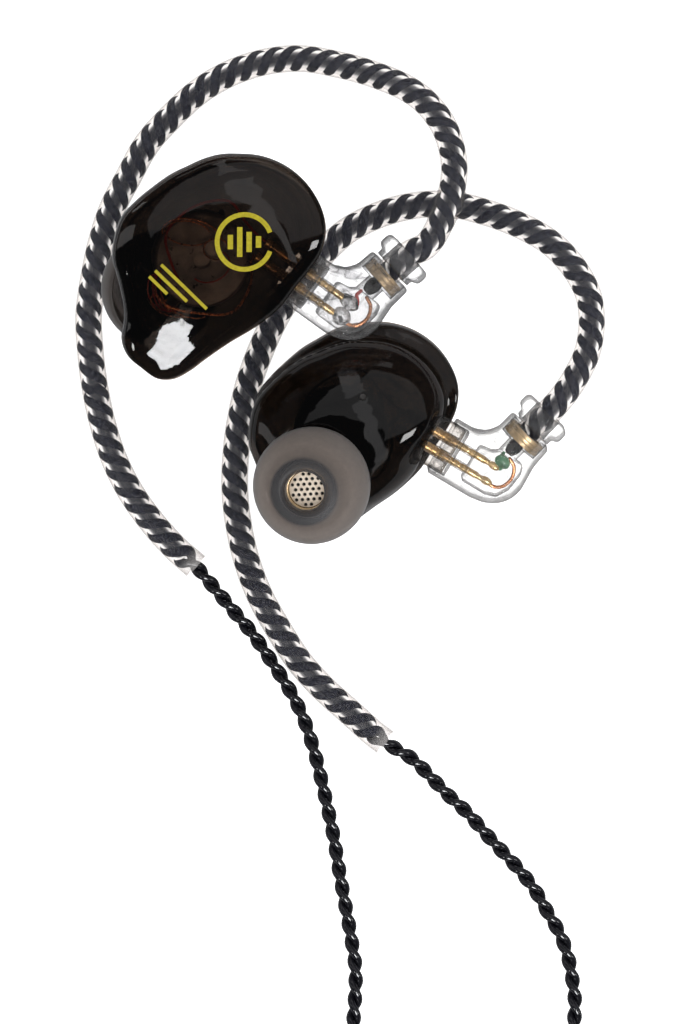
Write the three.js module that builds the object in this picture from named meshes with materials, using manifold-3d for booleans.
// A pair of in-ear monitors with a detachable two-pin cable, laid out flat with the left housing
// face up and the right housing nozzle up. Millimetres, +Z up.
// The origin is on the resting plane, under the middle of the layout.
import * as THREE from "three";
import { mergeVertices } from "three/addons/utils/BufferGeometryUtils.js";
import Module from "manifold-3d";

const wasm = await Module();
wasm.setup();

// ---- housing dimensions; x and y lie in the face, z is the depth from the face ----
const SEAM_Z = 1.1; // seam between faceplate and shell
const WALL = 0.9;
const RIM_Z = 3.1; // end of the rim band
const LEDGE_Z = 3.9; // start of the body dome
const CREST_Z = 10.0; // top of the body dome
const CROWN = 1.3; // faceplate crown height
// How far the body stands in from the rim band: most toward one angle, in radians.
const LEDGE = { least: 0.65, extra: 1.0, angle: 0.75, power: 1.5 };
const DOME_TOP_R = 3.5; // flat top of the dome, round the nozzle
const VENT_R = 0.35, VENT_AT = [0.8, 5.2, 9.0];

const NOZZLE_AT = [-4.85, -3.26, 9.5], NOZZLE_DIR = [-0.18, 0.03, 1];
const NECK_R = 2.65, NECK_BORE_R = 2.25, NECK_END = 4.2;
const SLEEVE_R = 2.2, SLEEVE_BORE_R = 2.0, SLEEVE_LIP_R = 2.95, SLEEVE_END = 5.9;
const SCREEN = { radius: 1.93, thick: 0.25, z: 5.45, holeR: 0.2, pitch: 0.74, reach: 1.6 };
const TIP_R = 6.15, TIP_CORE_R = 3.72, TIP_BORE_R = 3.02, TIP_MOUTH_R = 2.1;

const DRIVER_AT = [-1.8, 0.8], DRIVER_R = 5.0, DRIVER_WALL = 0.25;
const WIRE_R = 0.16;

// ---- plug dimensions; in the plug's frame +X runs along the pins, out of the socket ----
const radians = (degrees) => (degrees * Math.PI) / 180;
const PLUG_AT = [8.62, -1.22, 4.6]; // socket mouth
const PLUG_TURN = radians(-36); // the pins' direction in the face
const PIN_PITCH = 1.85, PIN_R = 0.375;
const PLUG_W = 6.2, PLUG_T = 4.5;
const ELBOW = radians(77); // angle between the pins and the neck
const NECK_FOOT = [6.35, 1.6]; // a point on the neck's axis
const NECK_DIR = [Math.cos(ELBOW), Math.sin(ELBOW)];
const CONDUCTOR_R = 0.2;

// ---- cable dimensions ----
const TUBE_R = 1.5, TUBE_BORE_R = 0.98, CABLE_R = 0.8, MAIN_CABLE_R = 1.15;
const FLEX_GAP = 0.5; // gap left in an ear hook at its flex joint
const HOOK_SPLIT = 0.25; // where along the ear hook its flex joint is
const HOOK_REST_Z = 1.65; // centre line of the hook where it lies flat
const HOOK_DROP = 0.99; // trim on the hook's height above that
const HOOK_IN_NECK = [1.3, 3.1, 5.4]; // the hook's first points, along the neck's axis
const HOOK_MOUTH = 7.4; // where the hook leaves the collar, along the neck's axis
const TUBE_START = 1.8; // where the tube starts, along the hook
const SPLIT_TOP = [12.0, -68.9, 2.4], SPLIT_LENGTH = 13.0, SPLIT_W = 6.0, SPLIT_T = 4.4;
const JACK_AT = [-3.4, -92.8, 3.15]; // a point inside the strain relief
const JACK_R = 1.75, JACK_BARREL_R = 3.1;
const JACK_INSULATOR_R = JACK_R - 0.02;
const CABLE_TO_JACK = 2.2; // from the main cable's end to JACK_AT

// Layout point that becomes the origin.
const ORIGIN = [-3.714, -23.155, 0.097];

// Outline of the faceplate, looking at the left housing's face: x, y.
const OUTLINE = [
  [1.78, 11.86], [4.39, 11.61], [7.01, 10.51], [9.1, 8.68], [10.46, 6.38], [10.93, 4.19],
  [10.46, 1.88], [9.31, 0.0], [7.74, -1.94], [6.17, -3.97], [3.56, -6.07], [0.94, -7.64],
  [-1.63, -9.41], [-3.1, -10.51], [-4.92, -11.43], [-6.64, -11.37], [-8.1, -10.36],
  [-9.53, -9.09], [-10.14, -7.47], [-9.88, -4.71], [-10.51, -1.21], [-11.11, 1.04],
  [-10.91, 3.24], [-10.14, 5.39], [-8.57, 7.11], [-6.9, 8.47], [-5.12, 9.72], [-3.4, 10.56],
  [-1.67, 11.34], [0.07, 11.8],
];

// Centre lines of the ear hooks and cables in the layout: x, y, z.
const LEFT_HOOK = [
  [8.95, 27.95, 12.22], [10.35, 30.15, 11.83], [11.45, 32.9, 11.28], [11.9, 36.5, 10.66],
  [11.0, 40.2, 9.88], [9.1, 43.0, 9.02], [6.9, 44.7, 8.24], [3.3, 46.3, 6.92],
  [-0.4, 47.4, 5.74], [-4.3, 48.1, 4.65], [-8.1, 47.8, 3.72], [-11.9, 46.6, 2.94],
  [-15.2, 44.7, 2.39], [-18.1, 42.1, 2.0], [-20.7, 39.2, 1.77], [-22.6, 35.8, 1.65],
  [-24.4, 32.3, 1.65], [-25.6, 28.6, 1.65], [-26.4, 24.8, 1.65], [-26.9, 20.9, 1.65],
  [-26.7, 17.0, 1.65], [-26.2, 13.1, 1.65], [-25.4, 9.4, 1.65], [-24.2, 5.7, 1.65],
  [-22.4, 2.1, 1.65], [-20.2, -1.0, 1.65], [-17.6, -3.9, 1.65], [-15.6, -5.65, 1.65],
];
const RIGHT_HOOK = [
  [23.6, 12.45, 9.35], [24.9, 14.45, 9.0], [26.05, 16.9, 8.5], [26.55, 20.0, 7.9],
  [26.2, 23.0, 7.3], [24.7, 25.9, 6.6], [22.3, 28.5, 5.9], [19.1, 30.4, 5.2],
  [15.5, 31.8, 4.5], [11.7, 32.7, 3.9], [7.8, 32.6, 3.3], [4.1, 31.65, 2.7],
  [0.6, 29.9, 2.2], [-2.2, 27.3, 1.85], [-4.7, 24.2, 1.65], [-6.8, 21.0, 1.65],
  [-8.46, 17.45, 1.65], [-9.8, 13.8, 1.65], [-10.7, 10.0, 1.65], [-11.17, 6.2, 1.65],
  [-11.2, 2.3, 1.65], [-10.8, -1.6, 1.65], [-10.0, -5.35, 1.65], [-8.6, -9.0, 1.65],
  [-6.7, -12.4, 1.65], [-4.6, -15.7, 1.65], [-2.07, -18.6, 1.65], [0.8, -21.2, 1.65],
  [3.6, -23.7, 1.65], [4.55, -24.4, 1.65],
];
const LEFT_CABLE = [
  [-15.25, -6.0, 1.6], [-13.0, -8.7, 1.0], [-11.25, -10.7, 0.85], [-9.4, -12.8, 0.85],
  [-7.85, -15.0, 0.85], [-6.3, -17.4, 0.85], [-5.0, -19.85, 0.85], [-3.85, -22.4, 0.85],
  [-2.9, -25.35, 0.85], [-2.2, -28.1, 0.85], [-1.5, -31.2, 0.85], [-0.8, -34.55, 0.85],
  [-0.2, -38.2, 0.85], [0.45, -41.85, 0.85], [1.1, -45.5, 0.85], [1.55, -48.8, 0.85],
  [1.5, -51.6, 0.95], [1.35, -55.0, 1.1], [1.9, -58.6, 1.4], [4.2, -62.3, 1.9],
  [7.3, -64.9, 2.3], [9.5, -66.4, 2.4], [10.6, -68.0, 2.4],
];
const RIGHT_CABLE = [
  [4.95, -24.7, 1.6], [7.65, -26.35, 1.0], [9.6, -28.3, 0.85], [11.45, -30.2, 0.85],
  [13.5, -32.1, 0.85], [15.35, -34.2, 0.85], [17.2, -36.2, 0.85], [19.05, -38.2, 0.85],
  [20.7, -40.35, 0.85], [22.1, -42.8, 0.85], [23.4, -45.1, 0.85], [24.3, -47.8, 0.85],
  [24.75, -50.4, 0.85], [24.95, -52.6, 0.95], [24.6, -55.4, 1.1], [22.9, -58.6, 1.4],
  [20.0, -61.6, 1.9], [17.0, -64.0, 2.3], [14.6, -66.2, 2.4], [13.4, -68.0, 2.4],
];
// The last two points coincide; that shapes the end of the curve.
const MAIN_CABLE = [
  [12.0, -82.6, 2.4], [11.6, -86.0, 2.2], [9.6, -89.6, 2.3], [5.9, -91.9, 2.7],
  [1.8, -92.7, 3.0], [-1.2, -92.8, 3.15],
  [JACK_AT[0] + CABLE_TO_JACK, JACK_AT[1], JACK_AT[2]],
];

// ---- materials ----
const plastic = (look) => new THREE.MeshStandardMaterial({ ...look, metalness: 0 });
const metal = (look) => new THREE.MeshStandardMaterial({ ...look, metalness: 1 });
const MATERIAL = {
  smoke: plastic({ color: 0x16110e, roughness: 0.06 }),
  silicone: plastic({ color: 0x8d8884, roughness: 0.55 }),
  brass: metal({ color: 0xb58a4c, roughness: 0.3 }),
  screen: metal({ color: 0xd9c8ae, roughness: 0.35 }),
  gold: metal({ color: 0xe0a83c, roughness: 0.2 }),
  steel: metal({ color: 0x8e8e92, roughness: 0.3 }),
  film: plastic({ color: 0xc9a27c, roughness: 0.3 }),
  copper: metal({ color: 0xb4562b, roughness: 0.3 }),
  red: plastic({ color: 0xa01820, roughness: 0.4 }),
  green: plastic({ color: 0x2f6a42, roughness: 0.4 }),
  clear: plastic({ color: 0xf2f2f2, roughness: 0.05 }),
  tube: plastic({ color: 0xeeecea, roughness: 0.2 }),
  jacket: plastic({ color: 0x15161a, roughness: 0.25 }),
  black: plastic({ color: 0x17181a, roughness: 0.5 }),
};

// Where each housing sits in the layout. `up` is +1 with the nozzle up and -1 with the face up;
// `lean` is where the depth axis points.
const EARPHONES = [
  {
    name: "left", at: [-12.43, 25.17, 23.0], up: -1, turn: 0, lean: [-0.11, 0.13, -1],
    hook: LEFT_HOOK, cable: LEFT_CABLE, conductor: MATERIAL.red,
  },
  {
    name: "right", at: [1.8, 8.35, 3.95], up: 1, turn: radians(5), lean: [0.015, -0.163, 1],
    hook: RIGHT_HOOK, cable: RIGHT_CABLE, conductor: MATERIAL.green,
  },
];

// ---- solids and surfaces ----
const vec = (point) => new THREE.Vector3(...point);
const Z_AXIS = vec([0, 0, 1]);

function toSolid(geometry) {
  const bare = geometry.clone();
  for (const key of Object.keys(bare.attributes)) {
    if (key !== "position") bare.deleteAttribute(key);
  }
  const merged = mergeVertices(bare, 1e-4);
  return new wasm.Manifold(new wasm.Mesh({
    numProp: 3,
    vertProperties: new Float32Array(merged.attributes.position.array),
    triVerts: new Uint32Array(merged.index.array),
  }));
}

function toGeometry(solid) {
  const mesh = solid.getMesh();
  const positions = new Float32Array(mesh.numVert * 3);
  for (let i = 0; i < mesh.numVert; i++) {
    const start = i * mesh.numProp;
    positions.set(mesh.vertProperties.subarray(start, start + 3), i * 3);
  }
  const geometry = new THREE.BufferGeometry()
    .setAttribute("position", new THREE.BufferAttribute(positions, 3))
    .setIndex(new THREE.BufferAttribute(mesh.triVerts, 1));
  geometry.computeVertexNormals();
  return geometry;
}

const fuse = (...parts) => parts.map(toSolid).reduce((sum, part) => sum.add(part));
const cut = (solid, ...tools) =>
  toGeometry(tools.map(toSolid).reduce((rest, tool) => rest.subtract(tool), solid));

// A closed surface from flat lists of coordinates and triangle corners, turned to face outward.
function surface(positions, faces) {
  const corner = (i) => vec(positions.slice(3 * i, 3 * i + 3));
  let volume = 0;
  for (let i = 0; i < faces.length; i += 3) {
    const [a, b, c] = faces.slice(i, i + 3).map(corner);
    volume += a.dot(b.cross(c));
  }
  if (volume < 0) {
    for (let i = 0; i < faces.length; i += 3) {
      [faces[i + 1], faces[i + 2]] = [faces[i + 2], faces[i + 1]];
    }
  }
  const geometry = new THREE.BufferGeometry()
    .setAttribute("position", new THREE.Float32BufferAttribute(positions, 3))
    .setIndex(faces);
  geometry.computeVertexNormals();
  return geometry;
}

// Triangles between each ring and the next; a closed set also joins the last to the first.
function ringWalls(rings, closed) {
  const count = rings[0].length;
  const faces = [];
  for (let i = 0; i < (closed ? rings.length : rings.length - 1); i++) {
    const a = i * count;
    const b = ((i + 1) % rings.length) * count;
    for (let j = 0; j < count; j++) {
      const k = (j + 1) % count;
      faces.push(a + j, b + j, b + k, a + j, b + k, a + k);
    }
  }
  return faces;
}

// A surface through rings of equal count, capped from a centre point unless closed.
function loft(rings, closed = false) {
  const count = rings[0].length;
  const positions = rings.flat(2);
  const faces = ringWalls(rings, closed);
  for (const index of closed ? [] : [0, rings.length - 1]) {
    const centre = positions.length / 3;
    for (const d of [0, 1, 2]) {
      positions.push(rings[index].reduce((sum, point) => sum + point[d], 0) / count);
    }
    for (let j = 0; j < count; j++) {
      const a = index * count + j;
      const b = index * count + ((j + 1) % count);
      faces.push(centre, ...(index ? [b, a] : [a, b]));
    }
  }
  return surface(positions, faces);
}

// A turned piece about +Z from (radius, height) points.
// A solid profile starts and ends on the axis; any other is a closed loop off it.
function turned(profile, sides) {
  const points = profile.map(([radius, height]) => new THREE.Vector2(radius, height));
  if (profile[0][0] > 0) points.push(points[0].clone());
  const build = () => new THREE.LatheGeometry(points, sides).rotateX(Math.PI / 2);
  if (toSolid(build()).volume() < 0) points.reverse();
  return build();
}

// A cylinder along Z, centred on the origin.
const cylinder = (radius, length, sides) =>
  new THREE.CylinderGeometry(radius, radius, length, sides).rotateX(Math.PI / 2);

// A bar along X with rounded long edges: width across Y, thickness through Z.
function bar({ from, to, width, thick, round, steps = 4 }) {
  const section = [];
  for (const [signY, signZ, start] of [[1, 1, 0], [-1, 1, 90], [-1, -1, 180], [1, -1, 270]]) {
    for (let i = 0; i <= steps; i++) {
      const angle = radians(start + (90 * i) / steps);
      section.push([
        signY * (width / 2 - round) + round * Math.cos(angle),
        signZ * (thick / 2 - round) + round * Math.sin(angle),
      ]);
    }
  }
  return loft([from, to].map((x) => section.map(([y, z]) => [x, y, z])));
}

// A counter-clockwise outline moved inward, with sharp corners held back.
function insetOutline(outline, distance) {
  const count = outline.length;
  return outline.map(([x, y], i) => {
    const [lastX, lastY] = outline[(i + count - 1) % count];
    const [nextX, nextY] = outline[(i + 1) % count];
    const before = Math.hypot(x - lastX, y - lastY);
    const after = Math.hypot(nextX - x, nextY - y);
    const inX = -(y - lastY) / before - (nextY - y) / after;
    const inY = (x - lastX) / before + (nextX - x) / after;
    const scale = (2 * distance) / Math.max(inX * inX + inY * inY, 0.8);
    return [x + inX * scale, y + inY * scale];
  });
}

// A flat piece with the given outline; a bevel rounds its edges.
function slab(outline, halfThick, bevel = 0) {
  const edge = [[halfThick - bevel, 0], [halfThick - 0.3 * bevel, 0.3 * bevel], [halfThick, bevel]];
  const upper = bevel ? edge : [[halfThick, 0]];
  const lower = upper.map(([z, inward]) => [-z, inward]).reverse();
  const rings = [...lower, ...upper].map(([z, inward]) =>
    (inward ? insetOutline(outline, inward) : outline).map(([x, y]) => [x, y, z]));
  const faces = ringWalls(rings, false);
  for (const index of [0, rings.length - 1]) {
    const flat = rings[index].map(([x, y]) => new THREE.Vector2(x, y));
    for (const triangle of THREE.ShapeUtils.triangulateShape(flat, [])) {
      const corners = triangle.map((i) => index * outline.length + i);
      faces.push(...(index ? corners.reverse() : corners));
    }
  }
  return surface(rings.flat(2), faces);
}

// Frames carried without twist along a run, at equal steps between two fractions of its length.
// `lead` lists fractions to visit first.
function runFrames(points, steps, { from = 0, to = 1, lead = [] } = {}) {
  const curve = new THREE.CatmullRomCurve3(points.map(vec), false, "centripetal");
  curve.arcLengthDivisions = 600;
  const even = Array.from({ length: steps + 1 }, (_, i) => from + ((to - from) * i) / steps);
  let normal = Z_AXIS;
  return [...lead, ...even].map((fraction) => {
    const tangent = curve.getTangentAt(fraction);
    const along = tangent.clone().multiplyScalar(normal.dot(tangent));
    normal = normal.clone().sub(along).normalize();
    const binormal = tangent.clone().cross(normal);
    return { point: curve.getPointAt(fraction), normal, binormal };
  });
}
const frameRings = (frames, radius, sides) => frames.map(({ point, normal, binormal }) =>
  Array.from({ length: sides }, (_, k) => {
    const angle = ((k + 0.5) * 2 * Math.PI) / sides;
    return point.clone()
      .addScaledVector(normal, radius * Math.cos(angle))
      .addScaledVector(binormal, radius * Math.sin(angle))
      .toArray();
  }));
const rod = (frames, radius, sides) => loft(frameRings(frames, radius, sides));
const pipe = (frames, radius, bore, sides) =>
  loft([...frameRings(frames, radius, sides), ...frameRings(frames, bore, sides).reverse()], true);

// ---- placing within a housing ----
const aimFromZ = (direction) =>
  new THREE.Quaternion().setFromUnitVectors(Z_AXIS, vec(direction).normalize());
const onNozzle = (geometry) =>
  geometry.applyQuaternion(aimFromZ(NOZZLE_DIR)).translate(...NOZZLE_AT);
const onDriver = (geometry) => geometry.translate(...DRIVER_AT, 0);
const inPlug = (geometry) => geometry.rotateZ(PLUG_TURN).translate(...PLUG_AT);
// Turns a piece from Z to the line of one pin (side +1 or -1), x along it, in the plug's frame.
const onPin = (geometry, side, x = 0) =>
  geometry.rotateY(Math.PI / 2).translate(x, (side * PIN_PITCH) / 2, 0);
// A point of the plug's frame, in the housing's frame.
function plugPoint(x, y, z = 0) {
  const c = Math.cos(PLUG_TURN);
  const s = Math.sin(PLUG_TURN);
  return [PLUG_AT[0] + x * c - y * s, PLUG_AT[1] + x * s + y * c, PLUG_AT[2] + z];
}
// In the plug's frame: a point by its distance along and across the neck, and a piece about it.
const neckPoint = (along, across = 0) => [
  NECK_FOOT[0] + NECK_DIR[0] * along + NECK_DIR[1] * across,
  NECK_FOOT[1] + NECK_DIR[1] * along - NECK_DIR[0] * across,
];
const neckTurned = (profile, sides) =>
  turned(profile, sides).applyQuaternion(aimFromZ([...NECK_DIR, 0])).translate(...NECK_FOOT, 0);

// ---- shell and faceplate ----
// Equal steps round the outline, as an angle and a distance from the housing's middle.
const RIM_STEPS = 24;
const rimCurve = new THREE.CatmullRomCurve3(
  OUTLINE.map(([x, y]) => vec([x, y, 0])), true, "centripetal");
rimCurve.arcLengthDivisions = 600;
const RIM = Array.from({ length: RIM_STEPS }, (_, k) => {
  const { x, y } = rimCurve.getPointAt((RIM_STEPS - k) / RIM_STEPS);
  return { angle: Math.atan2(y, x), radius: Math.hypot(x, y) };
});
const rimRing = (offset, z, scale = 1) => RIM.map(({ angle, radius }) => {
  const r = scale * radius + offset;
  return [r * Math.cos(angle), r * Math.sin(angle), z];
});

// A ring of the body dome: `rise` goes from 0 at the ledge to a quarter turn at the top.
function bodyRing(rise, inset) {
  const topR = DOME_TOP_R - inset * 0.4;
  const c = Math.cos(rise);
  const z = LEDGE_Z + (CREST_Z - inset - LEDGE_Z) * Math.sin(rise);
  return RIM.map(({ angle, radius }) => {
    const toward = Math.max(0, Math.cos(angle - LEDGE.angle));
    const r = radius - (LEDGE.least + LEDGE.extra * Math.pow(toward, LEDGE.power)) - inset;
    const topX = NOZZLE_AT[0] + topR * Math.cos(angle);
    const topY = NOZZLE_AT[1] + topR * Math.sin(angle);
    return [
      topX + (r * Math.cos(angle) - topX) * c,
      topY + (r * Math.sin(angle) - topY) * c,
      z,
    ];
  });
}

// Body, neck and socket boss, less the cavity, neck bore, socket hole and vent.
function shell() {
  const body = loft([
    rimRing(-0.1, SEAM_Z + 0.1), rimRing(0.06, 1.8), rimRing(0.1, 2.5), rimRing(-0.05, RIM_Z),
    ...[0.02, 0.32, 0.65, 0.97, 1.28, Math.PI / 2].map((rise) => bodyRing(rise, 0)),
  ]);
  const neck = onNozzle(turned([
    [0, -3], [3.6, -3], [3.3, 0.4], [2.85, 0.9], [NECK_R, 1.4], [NECK_R, NECK_END], [0, NECK_END],
  ], 20));
  const boss = inPlug(bar({
    from: -3.4, to: 0, width: PLUG_W - 0.3, thick: PLUG_T - 0.2, round: 1.0,
  }));
  const cavity = loft([
    rimRing(-1.0, SEAM_Z - 0.6), rimRing(-1.0, RIM_Z),
    ...[0.02, 0.4, 0.8, 1.2, Math.PI / 2].map((rise) => bodyRing(rise, WALL)),
  ]);
  const bore = onNozzle(turned([[0, -3.4], [NECK_BORE_R, -3.4], [NECK_BORE_R, 6], [0, 6]], 20));
  const hole = inPlug(bar({ from: -5.4, to: 2, width: 4.0, thick: 2.5, round: 0.5, steps: 2 }));
  const vent = cylinder(VENT_R, 6, 8).translate(...VENT_AT);
  return toGeometry(fuse(body, neck, boss).subtract(fuse(cavity, bore, hole, vent)));
}

// Crowned cap with a register that drops inside the shell.
function faceplate() {
  // Fraction of the outline, fraction of the crown height.
  const crown = [[0.28, 1.0], [0.62, 0.86], [0.86, 0.5], [0.965, 0.14]];
  return loft([
    ...crown.map(([scale, height]) => rimRing(0, -CROWN * height, scale)),
    rimRing(0, 0.25), rimRing(-0.02, SEAM_Z - 0.15), rimRing(-1.15, SEAM_Z - 0.15),
    rimRing(-1.2, SEAM_Z + 0.7), rimRing(-1.9, SEAM_Z + 0.7), rimRing(-2.0, SEAM_Z - 0.25),
  ]);
}

// ---- nozzle ----
const nozzleSleeve = () => onNozzle(turned([
  [SLEEVE_BORE_R, 1.0], [SLEEVE_R, 1.0], [SLEEVE_R, NECK_END + 0.1], [2.7, NECK_END + 0.1],
  [SLEEVE_LIP_R, NECK_END + 0.5], [SLEEVE_LIP_R, 5.4], [2.7, SLEEVE_END],
  [SLEEVE_BORE_R, SLEEVE_END],
], 20));

// Disc with a triangular grid of holes.
function nozzleScreen() {
  const holes = [];
  for (let i = -3; i <= 3; i++) {
    for (let j = -3; j <= 3; j++) {
      const x = (i + j / 2) * SCREEN.pitch;
      const y = (j * SCREEN.pitch * Math.sqrt(3)) / 2;
      if (Math.hypot(x, y) < SCREEN.reach) {
        holes.push(cylinder(SCREEN.holeR, 1, 6).translate(x, y, 0));
      }
    }
  }
  const disc = toSolid(cylinder(SCREEN.radius, SCREEN.thick, 20));
  return onNozzle(cut(disc, ...holes).translate(0, 0, SCREEN.z));
}

const earTip = () => onNozzle(turned([
  [TIP_MOUTH_R, 6.35], [TIP_MOUTH_R, 7.55], [2.5, 7.85], [3.3, 7.75], [4.3, 7.25], [5.15, 6.35],
  [5.75, 5.2], [6.08, 3.9], [TIP_R, 2.7], [6.02, 1.6], [5.85, 1.2], [5.5, 1.25], [5.6, 2.7],
  [5.4, 4.2], [4.9, 5.4], [4.2, 6.2], [TIP_CORE_R, 6.1], [TIP_CORE_R, 1.7], [TIP_BORE_R, 1.7],
  [TIP_BORE_R, 6.05],
], 18));

// ---- two-pin socket and pins ----
// Clear insulating block with a lip outside the boss.
function socketBlock() {
  const block = bar({ from: -4.4, to: 1.3, width: 3.85, thick: 2.35, round: 0.4, steps: 2 });
  const lip = bar({ from: 0.25, to: 1.5, width: 5.0, thick: 3.3, round: 0.7 });
  const holes = [-1, 1].map((side) => onPin(cylinder(0.62, 8, 10), side, -1.6));
  return inPlug(cut(fuse(block, lip), ...holes));
}
const socketContact = (side) =>
  inPlug(onPin(turned([[0.43, -5.0], [0.56, -5.0], [0.56, 1.15], [0.43, 1.15]], 10), side));
const plugPin = (side) => inPlug(onPin(turned([
  [0, -2.9], [0.2, -2.9], [PIN_R, -2.6], [PIN_R, 2.2], [PIN_R, 5.2], [0.3, 5.3], [0.3, 6.0],
  [0, 6.0],
], 10), side));

// ---- moving-coil driver, facing the nozzle ----
const driverFrame = () => onDriver(turned([
  [0.9, 2.45], [4.85, 2.45], [DRIVER_R, 2.6], [DRIVER_R, 6.1], [DRIVER_R - DRIVER_WALL, 6.1],
  [DRIVER_R - DRIVER_WALL, 2.85], [0.9, 2.85],
], 20));
const driverMagnet = () => onDriver(turned([[0, 2.95], [2.5, 2.95], [2.5, 4.5], [0, 4.5]], 20));
const voiceCoil = () =>
  onDriver(turned([[2.68, 3.5], [2.88, 3.5], [2.88, 4.95], [2.68, 4.95]], 20));
const diaphragm = () => onDriver(turned([
  [0, 5.8], [1.4, 5.62], [2.5, 5.22], [2.9, 5.14], [3.6, 5.48], [4.3, 5.3], [4.6, 5.14],
  [4.6, 5.0], [4.2, 5.12], [3.6, 5.3], [2.9, 5.0], [2.5, 5.05], [1.4, 5.45], [0, 5.63],
], 16));

// Wires from the contacts over the back of the driver.
const driverWire = (run) => rod(runFrames(run, 18), WIRE_R, 5);
const driverWireA = () => driverWire([
  plugPoint(-5.2, PIN_PITCH / 2), plugPoint(-5.9, PIN_PITCH / 2, -0.1), [2.9, 4.6, 3.3],
  [0.9, 7.0, 2.1], [-3.0, 6.3, 1.95], [-5.6, 3.6, 2.0], [-5.0, 0.4, 2.05], [-4.1, -1.6, 2.15],
]);
const driverWireB = () => driverWire([
  plugPoint(-5.3, -PIN_PITCH / 2), [3.45, 0.3, 4.1], [3.35, -1.7, 2.9], [1.4, -4.6, 2.1],
  [-2.2, -4.7, 1.95], [-5.4, -3.9, 1.95], [-7.0, -2.0, 2.0], [-6.2, -0.3, 2.1],
]);

// ---- plug ----
// Elbow with a hood over the socket lip, a cavity for the joints, pin holes and a neck bore.
function plugHousing() {
  const elbow = slab([
    [0.12, -3.1], [5.4, -3.1], [6.9, -2.85], [8.2, -2.2], [9.15, -1.2], [9.65, 0.2],
    neckPoint(2.2, 2.75), neckPoint(4.7, 2.6), neckPoint(4.7, -2.6),
    [4.4, 4.7], [3.6, 3.65], [2.3, 3.1], [0.12, 3.1],
  ], PLUG_T / 2 + 0.25, 0.6);
  const hood = bar({ from: -1, to: 1.9, width: 5.3, thick: 3.6, round: 0.8 });
  const cavity = slab([
    [3.6, -2.1], [6.6, -2.1], [7.8, -1.7], [8.6, -0.4], [8.85, 1.6], [8.6, 2.6], [5.7, 2.7],
    [5.0, 2.2], [3.6, 2.0],
  ], 1.5);
  const pinHoles = [1, -1].map((side) => onPin(cylinder(0.5, 4, 10), side, 2.8));
  const bore = neckTurned([
    [0, 0.6], [1.1, 0.6], [1.1, 2.7], [2.3, 2.7], [2.3, 5.2], [0, 5.2],
  ], 16);
  return inPlug(cut(toSolid(elbow), hood, cavity, ...pinHoles, bore));
}

function plugCollar() {
  const collar = slab([
    neckPoint(7.35, -2.8), neckPoint(5.9, -2.8), neckPoint(5.5, -2.1), neckPoint(4.9, -2.1),
    neckPoint(4.9, 2.1), neckPoint(5.5, 2.1), neckPoint(5.9, 2.8), neckPoint(7.35, 2.8),
  ], 2.35, 0.4);
  return inPlug(cut(toSolid(collar), neckTurned([[0, 4], [1.62, 4], [1.62, 9], [0, 9]], 14)));
}

const crimpRing = () =>
  inPlug(neckTurned([[1.6, 2.95], [2.2, 2.95], [2.2, 4.25], [1.6, 4.25]], 16));

// Conductors from the neck to the pins.
const conductor = (run) => inPlug(rod(runFrames(run, 10), CONDUCTOR_R, 6));
const conductorA = () => conductor([
  [...neckPoint(0.95, -0.4), 0.1], [6.1, 2.0, 0.35], [6.6, 1.5, 0.5],
  [6.75, PIN_PITCH / 2 + 0.1, 0.2], [6.25, PIN_PITCH / 2, 0],
]);
const conductorB = () => conductor([
  [...neckPoint(0.95, 0.5), -0.1], [7.9, 1.9, -0.2], [8.35, 0.7, -0.3], [7.9, -0.6, -0.2],
  [7.0, -PIN_PITCH / 2 - 0.1, 0], [6.25, -PIN_PITCH / 2, 0],
]);

// ---- assembly ----
const root = new THREE.Group();
const layout = new THREE.Group();
layout.position.set(...ORIGIN.map((value) => -value));
root.add(layout);

function piece(group, name, geometry, material) {
  const mesh = new THREE.Mesh(geometry, material);
  mesh.name = name;
  group.add(mesh);
}

// Pieces common to both housings.
const HOUSING_PIECES = [
  ["shell", shell(), MATERIAL.smoke],
  ["faceplate", faceplate(), MATERIAL.smoke],
  ["nozzle_sleeve", nozzleSleeve(), MATERIAL.brass],
  ["nozzle_screen", nozzleScreen(), MATERIAL.screen],
  ["ear_tip", earTip(), MATERIAL.silicone],
  ["socket_block", socketBlock(), MATERIAL.clear],
  ["socket_contact_a", socketContact(1), MATERIAL.gold],
  ["socket_contact_b", socketContact(-1), MATERIAL.gold],
  ["driver_frame", driverFrame(), MATERIAL.steel],
  ["driver_magnet", driverMagnet(), MATERIAL.steel],
  ["voice_coil", voiceCoil(), MATERIAL.copper],
  ["diaphragm", diaphragm(), MATERIAL.film],
  ["driver_wire_a", driverWireA(), MATERIAL.red],
  ["driver_wire_b", driverWireB(), MATERIAL.copper],
  ["plug_housing", plugHousing(), MATERIAL.clear],
  ["plug_collar", plugCollar(), MATERIAL.clear],
  ["plug_pin_a", plugPin(1), MATERIAL.gold],
  ["plug_pin_b", plugPin(-1), MATERIAL.gold],
  ["crimp_ring", crimpRing(), MATERIAL.brass],
];

function addHousing({ name, at, up, turn, lean, conductor: conductorMaterial }) {
  const housing = new THREE.Group();
  housing.position.set(...at);
  housing.quaternion
    .setFromUnitVectors(vec([0, 0, up]), vec(lean).normalize())
    .multiply(new THREE.Quaternion().setFromAxisAngle(Z_AXIS, turn));
  housing.scale.z = up;
  layout.add(housing);
  for (const [part, geometry, material] of [
    ...HOUSING_PIECES,
    ["conductor_a", conductorA(), conductorMaterial],
    ["conductor_b", conductorB(), MATERIAL.copper],
  ]) piece(housing, `${name}_${part}`, geometry, material);
  return housing;
}

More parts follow.
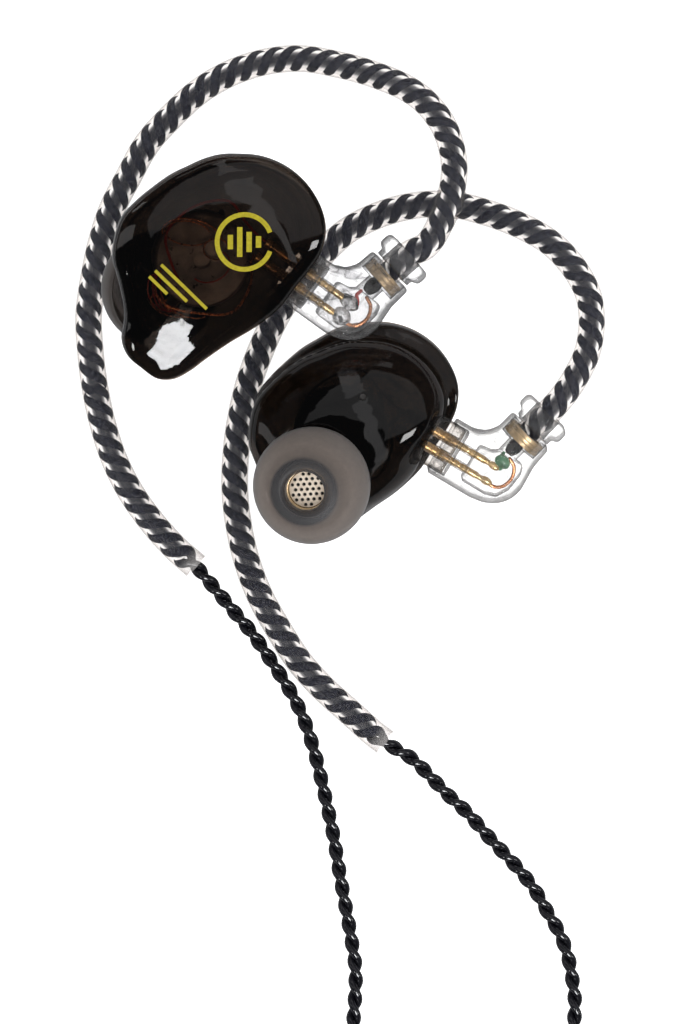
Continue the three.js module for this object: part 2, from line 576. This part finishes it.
// The hook's run starts in the neck's bore; its heights are scaled to meet the collar's mouth.
function hookRun(housing, hook) {
  housing.updateMatrix();
  const onNeck = (along) =>
    vec(plugPoint(...neckPoint(along))).applyMatrix4(housing.matrix).toArray();
  const mouth = onNeck(HOOK_MOUTH);
  const fall = (mouth[2] - HOOK_REST_Z) / (hook[0][2] - HOOK_REST_Z);
  const settle = (z) => HOOK_REST_Z + (z - HOOK_REST_Z) * fall * HOOK_DROP;
  return [...HOOK_IN_NECK.map(onNeck), mouth, ...hook.map(([x, y, z]) => [x, y, settle(z)])];
}

// Tube and cable, each in two lengths with a gap at the flex joint.
function addHook(name, run) {
  const total = new THREE.CatmullRomCurve3(run.map(vec), false, "centripetal").getLength();
  const half = FLEX_GAP / 2 / total;
  const from = TUBE_START / total;
  const tube = (frames) => pipe(frames, TUBE_R, TUBE_BORE_R, 8);
  const cable = (frames) => rod(frames, CABLE_R, 6);
  // The cable alone reaches back to the start of the run.
  for (const [part, shape, material, lead] of [
    ["hook_tube", tube, MATERIAL.tube, []],
    ["hook_cable", cable, MATERIAL.jacket, [0]],
  ]) {
    const front = runFrames(run, 10, { from, to: HOOK_SPLIT - half, lead });
    const rear = runFrames(run, 24, { from: HOOK_SPLIT + half });
    piece(layout, `${name}_${part}_front`, shape(front), material);
    piece(layout, `${name}_${part}_rear`, shape(rear), material);
  }
}

for (const earphone of EARPHONES) {
  const { name, hook, cable } = earphone;
  addHook(name, hookRun(addHousing(earphone), hook));
  piece(layout, `${name}_side_cable`, rod(runFrames(cable, 28), CABLE_R, 6), MATERIAL.jacket);
}

// ---- splitter and main cable ----
function cableSplitter() {
  // Distance down from the top, half width, half thickness.
  const stations = [
    [0.0, 2.1, 1.5], [0.5, 2.75, 2.0], [2.0, SPLIT_W / 2, SPLIT_T / 2],
    [8.0, 2.7, SPLIT_T / 2], [SPLIT_LENGTH - 2.0, 1.9, 1.8], [SPLIT_LENGTH, 1.55, 1.5],
  ];
  // Below 1, the power squares up the oval section.
  const squared = (value) => Math.sign(value) * Math.pow(Math.abs(value), 0.7);
  const [topX, topY, topZ] = SPLIT_TOP;
  return toGeometry(toSolid(loft(stations.map(([down, halfW, halfT]) =>
    Array.from({ length: 16 }, (_, k) => {
      const angle = ((k + 0.5) * Math.PI) / 8;
      return [
        topX + halfW * squared(Math.cos(angle)),
        topY - down,
        topZ + halfT * squared(Math.sin(angle)),
      ];
    })))));
}
piece(layout, "cable_splitter", cableSplitter(), MATERIAL.black);
piece(layout, "main_cable", rod(runFrames(MAIN_CABLE, 16), MAIN_CABLE_R, 6), MATERIAL.jacket);

// ---- jack; its axis, +Z in its group, points along -X ----
const jack = new THREE.Group();
jack.position.set(...JACK_AT);
jack.rotation.y = -Math.PI / 2;
layout.add(jack);
// Name, material, sides, profile of (radius, height).
for (const [part, material, sides, profile] of [
  ["strain_relief", MATERIAL.black, 14, [
    [0, -2.0], [1.4, -2.0], [1.5, 0], [2.3, 4.4], [2.3, 5.0], [0, 5.0],
  ]],
  ["barrel", MATERIAL.black, 18, [
    [0, 5.1], [2.5, 5.1], [JACK_BARREL_R, 5.8], [JACK_BARREL_R, 16.6], [2.9, 17.0],
    [0.62, 17.0], [0.62, 14.0], [0, 14.0],
  ]],
  ["insulator", MATERIAL.black, 16, [
    [0, 14.6], [0.5, 14.6], [0.5, 17.1], [1.2, 17.1], [1.2, 24.9], [JACK_INSULATOR_R, 24.9],
    [JACK_INSULATOR_R, 25.6], [0.9, 25.6], [0.9, 28.0], [JACK_INSULATOR_R, 28.0],
    [JACK_INSULATOR_R, 28.6], [0.5, 28.6], [0.5, 29.0], [0, 29.0],
  ]],
  ["sleeve", MATERIAL.gold, 16, [
    [1.3, 17.15], [2.6, 17.15], [2.6, 18.0], [JACK_R, 18.0], [JACK_R, 24.8], [1.3, 24.8],
  ]],
  ["ring", MATERIAL.gold, 16, [[1.0, 25.7], [JACK_R, 25.7], [JACK_R, 27.9], [1.0, 27.9]]],
  ["tip", MATERIAL.gold, 16, [
    [0, 29.1], [0.7, 29.1], [0.7, 28.7], [1.45, 28.7], [1.25, 29.2], [1.65, 30.1],
    [1.55, 30.9], [0.7, 31.8], [0, 32.0],
  ]],
]) piece(jack, `jack_${part}`, turned(profile, sides), material);

export default root;
